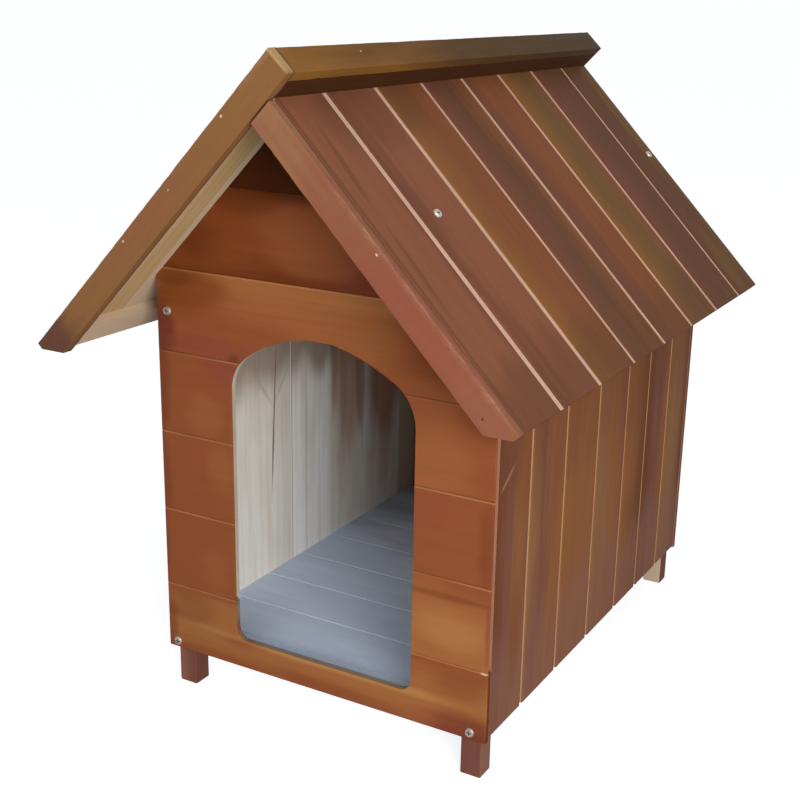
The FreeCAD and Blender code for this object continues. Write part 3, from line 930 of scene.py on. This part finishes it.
class DOGHOUSE_OT_trim(bpy.types.Operator):
    """Barge boards and ridge: stain, filled nail holes and dented corners"""
    bl_idname = "dog_house.trim"
    bl_label = "Barge boards and ridge"

    def execute(self, context):
        dent = context.scene.dog_house_sizes.dent
        for side, label in SIDES:
            down, inward = slope_axes(side)
            origin = APEX + Y * roof_front
            grain = Grain(origin, down, inward, Y, (0, SLOPE_LENGTH))
            material = stained_wood(
                "stained_pine_%s_barge" % label, grain, stain_names("trim", BARGE_BANDS[label]),
                seed_of("barge", side=side), run=0, bare="trim_umber", bare_from=BARGE_SEAM,
                bare_ends=True, touches=BARGE_TOUCHES[label], arris=ARRIS_WEAR[label])
            worn_plank(label + "_barge_board", material, origin, down,
                       DENTS[label] * dent)
        down, inward = slope_axes(-1)
        low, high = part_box("ridge_board")
        ridge = Grain(APEX - down * RIDGE_LAP, Y, inward, down, (low.y / MM, high.y / MM))
        material = stained_wood("stained_pine_ridge", ridge, stain_names("ridge", RIDGE_BANDS),
                                seed_of("ridge"), run=0, touches=RIDGE_TOUCHES)
        worn_plank("ridge_board", material, APEX, Y, DENTS["ridge"] * dent,
                   step=RIDGE_STEP)
        # The ridge batten's stain is darkened as painted shade under the left slope's lap.
        dress("ridge_batten", stained_wood("stained_and_shaded_ridge_batten", ridge,
                                           stain_names("ridge", "shade shade"),
                                           seed_of("ridge_batten"), run=0))
        return {"FINISHED"}


# The second stain of each post lies on its right-hand face; on the front left post it is partly
# painted shade.
POST_STAINS = {"front_left_post": ("leg_russet", "leg_umber_and_shade"),
               "front_right_post": ("trim_honey", "side_dusk"),
               "rear_left_post": ("leg_russet", "leg_umber_and_shade"),
               "rear_right_post": ("leg_russet", "leg_umber_and_shade")}
POST_FACES = {"front_right_post": "leg_umber_and_shade", "rear_right_post": "bare_fawn"}


class DOGHOUSE_OT_timbers(bpy.types.Operator):
    """Posts, rails, rafters and battens"""
    bl_idname = "dog_house.timbers"
    bl_label = "Frame timbers"

    def execute(self, context):
        for number, (name, stains) in enumerate(POST_STAINS.items()):
            low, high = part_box(name)
            upright = Grain((0, low.y, 0), Z, X, Y, (low.x / MM, high.x / MM))
            material = stained_wood("stained_pine_" + name, upright, stains,
                                    seed_of("post", number), skin=POST_FACES.get(name))
            bm = merged_copy(name)
            rub_corners(bm, [e for e in bm.edges if is_corner(e) and runs_along(e, Z, LONG_EDGE)])
            stand_for(bm, name, material)
        lengthwise = Grain((0, 0, 0), Y, X, Z)
        for number, end in enumerate(("_bottom_rail", "_top_rail", "_eave_batten")):
            for side, label in SIDES:
                dress(label + end, bare_wood("bare_pine_" + label + end, lengthwise, "bare_fawn",
                                             seed_of("rail", number, side)))
        for side, label in SIDES:
            down, inward = slope_axes(side)
            sloping = Grain(APEX, down, Y, inward)
            dress(label + "_front_rafter", bare_wood("bare_pine_%s_rafter" % label, sloping,
                                                     "bare_tan", seed_of("rafter", side=side)))
        rear = Grain((0, 0, 0), Z, X, Y)
        dress("rear_rafters", bare_wood("bare_pine_rear_rafters", rear, "bare_tan",
                                        seed_of("rear_rafters")))
        return {"FINISHED"}


FLOOR_TOUCHES = ((0, -220.5, 900, 2.2, "seam_paint_and_shade", 0.9),  # the first seam is full of paint, darkened as painted shade over the light its chamfer catches
                 (-40, 330, 420, 260, "far_floor_shade", 0.6))  # painted shade at the far end, inside the house


class DOGHOUSE_OT_floor(bpy.types.Operator):
    """Floor boards: paint"""
    bl_idname = "dog_house.floor"
    bl_label = "Floor boards"

    def execute(self, context):
        grain = Grain((0, 0, 0), X, Y, Z)
        dress("floor_boards", painted_wood("blue_grey_floor_paint", grain, seed_of("floor"),
                                           FLOOR_TOUCHES))
        return {"FINISHED"}


class DOGHOUSE_OT_screws(bpy.types.Operator):
    """Screws: zinc plating"""
    bl_idname = "dog_house.screws"
    bl_label = "Screws"

    def execute(self, context):
        dress("screws", plated_steel("zinc_plated_steel"))
        return {"FINISHED"}


class DOGHOUSE_PT_panel(bpy.types.Panel):
    """The settings and the steps of the dog house"""
    bl_label = "Dog House"
    bl_idname = "DOGHOUSE_PT_panel"
    bl_space_type = "VIEW_3D"
    bl_region_type = "UI"
    bl_category = "Dog House"

    def draw(self, context):
        for setting, group in GROUPS.items():
            box = self.layout.box()
            for name in group.__annotations__:
                box.prop(getattr(context.scene, setting), name)
        for step in STEPS:
            self.layout.operator(step.bl_idname)


STEPS = (DOGHOUSE_OT_stage, DOGHOUSE_OT_front, DOGHOUSE_OT_side_walls, DOGHOUSE_OT_back,
         DOGHOUSE_OT_roof, DOGHOUSE_OT_trim, DOGHOUSE_OT_timbers, DOGHOUSE_OT_floor,
         DOGHOUSE_OT_screws)
GROUPS = {"dog_house_colours": DogHouseColours, "dog_house_sizes": DogHouseSizes,
          "dog_house_stage": DogHouseStage}


def register():
    for kind in (*GROUPS.values(), *STEPS, DOGHOUSE_PT_panel):
        bpy.utils.register_class(kind)
    for name, group in GROUPS.items():
        setattr(bpy.types.Scene, name, bpy.props.PointerProperty(type=group))


def unregister():
    for name in GROUPS:
        delattr(bpy.types.Scene, name)
    for kind in (DOGHOUSE_PT_panel, *reversed(STEPS), *reversed(GROUPS.values())):
        bpy.utils.unregister_class(kind)


def main():
    register()
    for step in STEPS:
        group, call = step.bl_idname.split(".")
        getattr(getattr(bpy.ops, group), call)()


if __name__ == "__main__":
    main()
